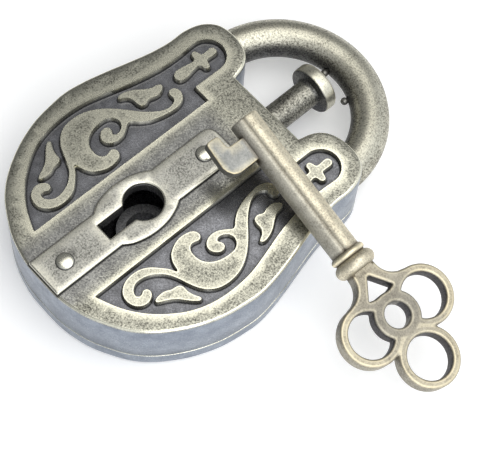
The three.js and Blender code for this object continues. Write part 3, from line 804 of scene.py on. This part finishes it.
def build_front():
    shell = plate(
        "case_front", without(case_field, keyhole_field), CASE_BOX, PARTING_Z + 0.06, FACE_Z,
        top_edge=0.5, low_edge=0.14, extra=[
            (panel_field, (-0.3, -0.2, -0.08, 0.04, 0.25)),
            (ornament_field, (-0.3, -0.07, 0.05, 0.17, 0.32)),
            (strap_field, (0.02, 0.14, 0.3)),
        ], lowered=relief_drop)
    cut(shell, chamber(0, CEILING_Z), *case_cutters())
    join(shell, block("spring_seat", (-3.2, 3.2), (13.7, 14.5), (3.3, CEILING_Z + 0.3)))
    for x, y in CASE_RIVETS:
        join(shell, post("boss", x, y, RIVET_BOSS_R, BACK_FLOOR + 0.3, CEILING_Z + 0.3))
        cut(shell, post("hole", x, y, RIVET_HOLE_R, 0, RIVET_HOLE_END))
    for x, y in STRAP_RIVETS.values():
        cut(shell, post("hole", x, y, RIVET_HOLE_R, 0, FACE_Z + 1))
    cut(shell, along_y(post("plunger_hole", 0, 0, PLUNGER_HOLE_R, 22.5, 26)))
    shade(shell)
    x, y, z = positions(shell).T
    outside = case_field(x, y)
    panel = -panel_field(x, y)
    ornament = -ornament_field(x, y)
    face = ramp(z, FACE_Z - 1.2, FACE_Z - 0.9) * (outside < -0.02)
    recess_and_shade = face * np.clip((FACE_Z - z) / PANEL_DEPTH, 0, 1)
    rim = fade(-panel, 0.05, 0.3) * (panel < 0.12)
    leaf = fade(ornament, 0.05, 0.17) * (ornament > -0.1) * (panel > 0)
    arris = ridge(FACE_Z - z, 0.1, 0.13) * (outside > -0.45)
    wear_and_sheen = face * np.maximum(rim, leaf) * (1 - recess_and_shade) + arris
    # Painted shadow: dark lines at the foot of each relief wall, which also hold tarnish in the
    # crevice, and a line along the strap's edge.
    foot = ridge(panel, 0.2, 0.12) + ridge(ornament, -0.2, 0.12) * (panel > 0)
    band = (1 - ramp(np.abs(x), 5.2, 6.6)) * (1 - ramp(y, 15.5, 19.5))
    recess_and_shade = np.maximum(recess_and_shade, 0.6 * face * band)
    line = ridge(strap_field(x, y), 0.08, 0.13)
    grime_and_shade = face * foot * 0.8 + face * line * 0.85
    # The inside of the case is painted darker; the case walls take the side colours, a painted cool
    # reflection.
    inside = (outside < -0.8) * (z < FACE_Z - 1.0)
    flank = ramp(FACE_Z - z, 0.2, 0.45) * ramp(outside, -0.5, -0.2)
    paint(shell, np.maximum(recess_and_shade, inside * 0.9), wear_and_sheen, grime_and_shade + inside * 0.35, flank)
    return settle(shell, "case", CASE_METAL, "antique_case", "front_shell")


def build_back():
    shell = plate("case_back", lambda x, y: case_field(x, y) - 0.05, CASE_BOX, 0, PARTING_Z,
                  top_edge=0.12, low_edge=0.8, spacing=0.3)
    cut(shell, chamber(BACK_FLOOR, 6), *case_cutters())
    join(shell, block("leaf_wall", (-9.5, -8.8), (7, 17), (BACK_FLOOR - 0.3, 4.4)))
    for x, y in CASE_RIVETS + list(STRAP_RIVETS.values()):
        cut(shell, post("hole", x, y, RIVET_HOLE_R, -1, PARTING_Z),
            post("sink", x, y, RIVET_SINK_R, -1, 1))
    cut(shell, post("pin_socket", 0, 19.9, 1.3, 0.5, 3))
    shade(shell)
    x, y, z = positions(shell).T
    edge = -case_field(x, y)
    arris = ridge(z, PARTING_Z, 0.07) * (edge < 0.2)
    inside = (edge > 1.0) * (z > 0.5)
    # The inside is painted darker; the sides take the side colours, a painted cool reflection.
    paint(shell, inside * 0.9, arris, inside * 0.3, ramp(-edge, -1.2, -0.6))
    return settle(shell, "case", CASE_METAL, "antique_case", "back_shell")


def build_strap():
    strap = plate("keyhole_plate", without(strap_field, keyhole_field), ((-5.6, -19.8), (5.6, 16.8)),
                  STRAP_LOW, STRAP_HIGH, top_edge=0.3, low_edge=0.02, step=0.12, spacing=0.16)
    for x, y in STRAP_RIVETS.values():
        cut(strap, post("hole", x, y, RIVET_HOLE_R, FACE_Z - 1, FACE_Z + 2))
    shade(strap)
    x, y, z = positions(strap).T
    edge = -strap_field(x, y)
    hole = keyhole_field(x, y)
    near = np.minimum(edge, hole)
    wear_and_sheen = fade(near, 0.1, 0.22) * ramp(z, STRAP_HIGH - 0.28, STRAP_HIGH - 0.12)
    # Painted shade: the strap's side walls are darkened, with a dark ring round each rivet.
    grime_and_shade = 0.92 * (1 - ramp(z, STRAP_HIGH - 0.29, STRAP_HIGH - 0.12))
    rivet_shade_ring = sum(ridge(np.hypot(x - a, y - b), 1.6, 0.2) for a, b in STRAP_RIVETS.values())
    paint(strap, 0 * x, wear_and_sheen, grime_and_shade + 0.6 * rivet_shade_ring)
    return settle(strap, "case", STRAP_METAL, "antique_strap", "keyhole_strap")


def build_strap_rivet(name, spot):
    tail = [(0, 0.1), (1.5, 0.1), (1.75, 0.25), (1.75, 0.7), (STRAP_RIVET_SHANK, 0.72)]
    dome = [(STRAP_RIVET_R * math.cos(t), STRAP_RIVET_Z + STRAP_RIVET_RISE * math.sin(t))
            for t in np.linspace(0, math.pi / 2, 9)]
    dome = [(STRAP_RIVET_SHANK, STRAP_RIVET_Z - 0.04)] + dome[:-1] + [(0, dome[-1][1])]
    obj = moved(turned(name + "_head", tail + dome, 40), Matrix.Translation((*spot, 0)))
    shade(obj)
    x, y, z = positions(obj).T
    reach = np.hypot(x - spot[0], y - spot[1])
    # Painted light on the dome: a bright top as painted highlight and darker sloping sides as painted
    # shade.
    paint(obj, 0 * x, 0.75 * (reach < 1.2), ramp(reach, 1.15, STRAP_RIVET_R) * (z > 12) * 0.8)
    return settle(obj, "case", STRAP_METAL, "antique_strap", name)


# ---------------------------------------------------------------- the shackle


def wire_path(count):
    """Centre and direction of the wire from heel to toe, as (x, y, angle) rows."""
    heel, toe, bend = BEND_Y - PIVOT[1], BEND_Y - TOE_Y, math.pi * BEND_R
    rows = []
    for s in np.linspace(0, heel + bend + toe, count):
        angle = min(max((s - heel) / BEND_R, 0), math.pi)
        x = -BEND_R * math.cos(angle)
        y = BEND_Y + BEND_R * math.sin(angle) + min(s - heel, 0) - max(s - heel - bend, 0)
        rows.append((x, y, math.pi / 2 - angle))
    return rows


def sweep(name, rows, segments, radius_of):
    """A closed wire: one ring of points per row (x, y, heading, scale, shift along the heading)."""
    points = []
    for x, y, heading, scale, shift in rows:
        ahead = Vector((math.cos(heading), math.sin(heading), 0))
        aside = Vector((math.sin(heading), -math.cos(heading), 0))
        for k in range(segments):
            turn = 2 * math.pi * k / segments
            radius = radius_of(turn) * scale
            p = Vector((x, y, AXIS_Z)) + ahead * shift + aside * radius * math.cos(turn)
            points.append(tuple(p + Vector((0, 0, radius * math.sin(turn)))))
    return tube(name, points, segments)


def stud_at(name, angle_deg, profile, segments=32):
    """A turned piece that points outwards from the middle of the bend."""
    obj = turned(name, profile, segments)
    a = math.radians(angle_deg)
    turn = Matrix.Rotation(-a, 4, "Z") @ Matrix.Rotation(math.radians(-90), 4, "X")
    return moved(obj, Matrix.Translation((0, BEND_Y, AXIS_Z)) @ turn)


def build_shackle():
    path = wire_path(150)
    caps = [(math.sin(t), math.cos(t)) for t in np.linspace(0.12, math.pi / 2, 10)]
    rows = [(*path[0], s, -WIRE_R * c) for s, c in caps[:-1]]
    rows += [(*p, 1.0, 0.0) for p in path]
    rows += [(*path[-1], s, WIRE_R * c) for s, c in reversed(caps[:-1])]

    def radius_of(turn):
        off = min(abs(turn), abs(turn - math.pi), abs(turn - 2 * math.pi))
        return WIRE_R * (0.993 + 0.011 * math.exp(-(off / SEAM_SPREAD) ** 2))

    bow = sweep("shackle_bow", rows, 56, radius_of)
    cut(bow, post("pin_bore", *PIVOT, PIN_BORE_R, 0, 12),
        block("bolt_notch", (8, 12.9), (20.6, 22.9), (0, 12)))
    seat = [(0, 9.5), (0.75, 9.5), (0.75, 11.25), (0.5, 11.3), (0.5, 12.6), (0, 12.6)]
    for angle in STUDS.values():
        cut(bow, stud_at("seat", angle, seat, 24))
    shade(bow, 50)
    x, y, z = positions(bow).T
    distance = np.hypot(x, y - BEND_Y)
    above = y > BEND_Y
    outward = np.where(above, distance - BEND_R, np.abs(x) - BEND_R) / WIRE_R
    upward = np.abs(z - AXIS_Z) / WIRE_R
    # Painted light: the inner side, the underside and the part near the case are darkened as shade (the
    # inner side also holds tarnish), and the faces above and below the axis are brightened as painted
    # highlight.
    hidden = (1 - ramp(y, 27, 30.5)) * 0.35
    inner = ramp(-outward, 0.6, 1.0)
    low = ramp((AXIS_Z - z) / WIRE_R, 0.15, 0.8) * 0.4
    recess_and_shade = np.clip(inner * 0.8 + hidden + low, 0, 0.9)
    paint(bow, recess_and_shade, 0.2 * ramp(upward, 0.5, 1) * (1 - inner), 0.25 * inner)
    settle(bow, "shackle", SHACKLE_METAL, "antique_shackle", "shackle")
    for name, angle in STUDS.items():
        ball = [(STUD_BALL_R * math.sin(t), STUD_RING_R - STUD_BALL_R * math.cos(t))
                for t in np.linspace(0, 2.5, 12)]
        neck = [(STUD_NECK_R, BEND_R - WIRE_R + 0.15), (STUD_NECK_R, STUD_FOOT), (0, STUD_FOOT)]
        profile = [(0, ball[0][1])] + ball[1:] + neck
        stud = shade(stud_at(name + "_ball", angle, profile), 60)
        count = len(stud.data.vertices)
        paint(stud, np.full(count, 0.7), np.full(count, 0.1), np.full(count, 0.2))
        settle(stud, "shackle", SHACKLE_METAL, "antique_shackle", name)


def build_plunger():
    rod = shade(along_y(turned("plunger_rod", PLUNGER_PROFILE, 56)), 40)
    x, y, z = positions(rod).T
    reach = np.hypot(x, z - AXIS_Z)
    # Painted shade: the lower side and the underside of the head are darkened, and the rod is painted
    # darker; the rings on the head are rubbed edges.
    side = ramp(-(z - AXIS_Z) / np.maximum(reach, 0.5), -0.35, 0.7)
    under = (y > 33.8) * (y < 34.75) * ramp(reach, 2.2, 2.4)
    wear_and_sheen = 0.6 * (ridge(reach, 3.95, 0.2) * (y > 34.6) + ridge(reach, 3.4, 0.3) * (y > 36.4))
    on_rod = y < 34.8
    recess_and_shade = on_rod * np.clip(0.35 + 0.5 * side + 0.3 * under, 0, 0.95) + (1 - on_rod) * 0.2 * side
    paint(rod, recess_and_shade, wear_and_sheen, 0.4 * under)
    return settle(rod, "plunger", SHACKLE_METAL, "antique_shackle", "plunger")


# ---------------------------------------------------------------- the key


def key_place():
    turn = Matrix.Rotation(KEY_HEADING, 4, "Z") @ Matrix.Rotation(KEY_SLOPE, 4, "Y")
    return Matrix.Translation(KEY_TIP) @ turn @ Matrix.Rotation(KEY_ROLL, 4, "X")


def key_shaft():
    """The round shaft with a soft groove along its upper and lower side."""
    stations = [(0, 0.93), (0.1, 0.975), (0.3, 1)] + [(x, 1) for x in np.linspace(1, SHAFT_END, 40)]
    segments = 72
    points = []
    for x, scale in stations:
        for k in range(segments):
            turn = 2 * math.pi * k / segments
            groove = 0
            for place in VALLEYS:
                away = math.atan2(math.sin(turn - place), math.cos(turn - place))
                narrow, wide = math.exp(-(away / 0.13) ** 2), math.exp(-(away / 0.5) ** 2)
                groove = max(groove, 0.22 * narrow + 0.2 * wide)
            radius = (SHAFT_R - groove) * scale
            points.append((x, radius * math.cos(turn), radius * math.sin(turn)))
    return tube("key_shaft", points, segments)


def key_collar():
    return moved(turned("key_collar", COLLAR_PROFILE, 64), Matrix.Rotation(math.radians(90), 4, "Y"))


neck_points = KEY_NECK + [(x, -y) for x, y in reversed(KEY_NECK)]
lobes = [disc_field(x, y, LOBE_R) for x, y in KEY_LOBES]
lobe_holes = [disc_field(x, y, LOBE_HOLE_R) for x, y in KEY_LOBES]
window_field = polygon_field(KEY_WINDOW)
outer_bow = blend_union(0.45, polygon_field(smooth(neck_points, 4)), *lobes)
pierced_bow = without(outer_bow, *lobe_holes, lambda x, y: window_field(x, y) - 0.1)
ringed_bow = blend_union(0.3, pierced_bow, disc_field(KEY_RING_X, 0, KEY_RING_R))
bow_field = without(ringed_bow, disc_field(KEY_RING_X, 0, KEY_RING_HOLE_R))
bit_field = polygon_field(KEY_BIT)


def build_key():
    bow = plate("key_bow", bow_field, ((26, -10.6), (49.4, 10.6)), -KEY_HALF, KEY_HALF,
                top_edge=0.38, low_edge=0.38, step=0.13, spacing=0.16,
                extra=[(bow_field, (-0.62, -0.48))])
    bit = plate("key_bit", bit_field, ((-1.2, -8.0), (6.8, -1)), -BIT_HALF, BIT_HALF,
                top_edge=0.16, low_edge=0.16, step=0.1, spacing=0.14)
    key = join(key_shaft(), key_collar(), bow, bit)
    key.name = "skeleton_key"
    shade(key, 40)
    x, y, z = positions(key).T
    reach = np.hypot(y, z)
    on_bow = ramp(x, 27.7, 28.4)
    on_bit = ramp(-y, 2.15, 2.5) * (x < 7)
    on_shaft = (x < 24.6) * (1 - on_bit)
    bow_edge = -bow_field(x, y)
    bit_edge = -bit_field(x, y)
    rim = ridge(bow_edge, 0.3, 0.13) * on_bow
    bit_top = np.abs(z) > BIT_HALF - 0.12
    bit_rim = ridge(bit_edge, 0.07, 0.09) * bit_top * on_bit * (x < 6.5)
    wall = (1 - ramp(bow_edge, 0.01, 0.14)) * on_bow
    bit_wall = (np.abs(z) < BIT_HALF - 0.12) * on_bit
    inner_wall = wall * ramp(-outer_bow(x, y), 0.6, 1.0)
    around = np.arctan2(z, y)
    valley = on_shaft * sum(
        ridge(np.arctan2(np.sin(around - t), np.cos(around - t)), 0, 0.09) for t in VALLEYS)
    flank = on_shaft * ramp(-y / 2.3, 0.65, 1.0) * (0.1 + 0.7 * fade(x, 6, 5))
    joint = ridge(-y, 2.3, 0.22) * (x < 6.6) * (x > 1.9) * (np.abs(z) < 1.3)
    crease = ridge(x, 25.66, 0.14) + ridge(x, 28.15, 0.22) * (reach > 2.0)
    foot = ridge(x, 24.5, 0.14) * (reach < 2.7)
    low = ramp(-z, 0.6, 2.2) * (x < 28.3) * (1 - on_bit)
    middle = ridge(x, 36, 6) * (1 - ramp(np.abs(y), 4.5, 7))
    flat = on_bow * (1 - wall) * (0.4 + 0.1 * ramp(bow_edge, 0.35, 0.8) - 0.2 * rim)
    # Painted light: the walls of the bow's holes and of the bit, the shaft's lower flank and underside,
    # and the creases, groove and bit joint are darkened as shade (the creases and groove also hold
    # dirt); the rims of the bow and bit are rubbed and partly painted highlight.
    grime_and_shade = crease * 0.8 + foot * 0.7 + inner_wall * 0.3 + valley * 0.5 + joint * 0.8 + low * 0.1
    grime_and_shade = grime_and_shade + 0.35 * bit_wall + flat
    recess_and_shade = 0.95 * inner_wall + 0.5 * (wall - inner_wall) + 0.5 * flank + 0.2 * bit_wall
    wear_and_sheen = rim * 0.55 * (1 - 0.7 * middle) + bit_rim * 0.8 + 0.5 * ridge(x, 25.15, 0.22)
    silver = np.clip(on_shaft * ramp(-y, 0.3, 1.1) * 0.5 + on_bit + 0.6 * middle * on_bow, 0, 1)
    paint(key, recess_and_shade, wear_and_sheen, grime_and_shade, silver)
    moved(key, key_place())
    return settle(key, "key", KEY_METAL, "key_metal", "key")


# ---------------------------------------------------------------- stage


FLOOR_HALF = 1.2
FLOOR_GAP = 0.02 * MM
FLOOR_GLOW = 0.22
CAMERA_AZIMUTH, CAMERA_ELEVATION, CAMERA_ROLL = (math.radians(a) for a in (41.3, 63.73, 6.86))
CAMERA_TARGET = Vector((9.19, 13.81, 0)) * MM
CAMERA_DISTANCE = 240.85 * MM
LENS_MM = 111.28
SENSOR_MM = 36


def add_light(name, spot, target, size, watts, colour=(1, 1, 1)):
    data = bpy.data.lights.new(name, "AREA")
    data.shape = "RECTANGLE"
    data.size, data.size_y = size
    data.energy = watts
    data.color = colour
    light = bpy.data.objects.new(name, data)
    light.location = spot
    light.rotation_mode = "QUATERNION"
    light.rotation_quaternion = (Vector(target) - Vector(spot)).to_track_quat("-Z", "Y")
    bpy.context.scene.collection.objects.link(light)


def add_stage():
    mesh = bpy.data.meshes.new("floor")
    corners = [(x * FLOOR_HALF, y * FLOOR_HALF, 0) for x, y in ((-1, -1), (1, -1), (1, 1), (-1, 1))]
    mesh.from_pydata(corners, [], [(0, 1, 2, 3)])
    floor = bpy.data.objects.new("floor", mesh)
    floor.location.z = -FLOOR_GAP
    bpy.context.scene.collection.objects.link(floor)
    n = Nodes("floor paper")
    tint = n.mix(n.noise(40, 3), rgb(0.93, 0.93, 0.935), rgb(0.96, 0.96, 0.96))
    n.link(tint, n.shader.inputs["Base Color"])
    n.shader.inputs["Roughness"].default_value = 0.85
    n.shader.inputs["Emission Color"].default_value = rgb(1, 1, 1)
    n.shader.inputs["Emission Strength"].default_value = FLOOR_GLOW
    mesh.materials.append(n.material)
    add_sky()
    add_light("wide softbox", (0.11, 0.1, 0.36), (0.11, 0.1, 0), (0.52, 0.34), 0.95, (1, 0.985, 0.94))
    add_light("side softbox", (0.3, -0.16, 0.22), (0.01, 0.01, 0), (0.2, 0.2), 0.3)
    bpy.context.scene.view_settings.view_transform = "Standard"


def add_sky():
    """A pale studio: dimmer towards -X, brighter overhead and towards +X."""
    world = bpy.data.worlds.new("studio")
    bpy.context.scene.world = world
    world.use_nodes = True
    tree = world.node_tree
    coords = tree.nodes.new("ShaderNodeTexCoord")
    split = tree.nodes.new("ShaderNodeSeparateXYZ")
    tree.links.new(coords.outputs["Generated"], split.inputs["Vector"])
    band = tree.nodes.new("ShaderNodeMapRange")
    band.interpolation_type = "SMOOTHSTEP"
    tree.links.new(split.outputs["X"], band.inputs["Value"])
    for name, number in zip(RANGE_INPUTS, SKY_BAND):
        band.inputs[name].default_value = number
    background = tree.nodes["Background"]
    background.inputs["Color"].default_value = rgb(0.93, 0.96, 1.0)
    tree.links.new(band.outputs[0], background.inputs["Strength"])


def add_camera():
    """The photograph's view, recovered from the lock's symmetry."""
    back = Vector((math.sin(CAMERA_AZIMUTH) * math.cos(CAMERA_ELEVATION),
                   -math.cos(CAMERA_AZIMUTH) * math.cos(CAMERA_ELEVATION),
                   math.sin(CAMERA_ELEVATION)))
    right = (-back).cross(Vector((0, 0, 1))).normalized()
    up = right.cross(-back)
    tilted_right = math.cos(CAMERA_ROLL) * right + math.sin(CAMERA_ROLL) * up
    tilted_up = math.cos(CAMERA_ROLL) * up - math.sin(CAMERA_ROLL) * right
    data = bpy.data.cameras.new("photo view")
    data.sensor_width = SENSOR_MM
    data.lens = LENS_MM
    data.clip_start = 0.01
    camera = bpy.data.objects.new("photo view", data)
    turn = Matrix((tilted_right, tilted_up, back)).transposed()
    camera.matrix_world = Matrix.Translation(CAMERA_TARGET + back * CAMERA_DISTANCE) @ turn.to_4x4()
    bpy.context.scene.collection.objects.link(camera)
    bpy.context.scene.camera = camera


add_camera()
add_stage()
build_front()
build_back()
build_strap()
for rivet, place in STRAP_RIVETS.items():
    build_strap_rivet(rivet, place)
build_shackle()
build_plunger()
build_key()

for node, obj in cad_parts.items():
    if obj.hide_render:
        continue
    obj.data.materials.clear()
    obj.data.materials.append(RIVET_METAL if node.startswith("case_rivet") else STEEL)
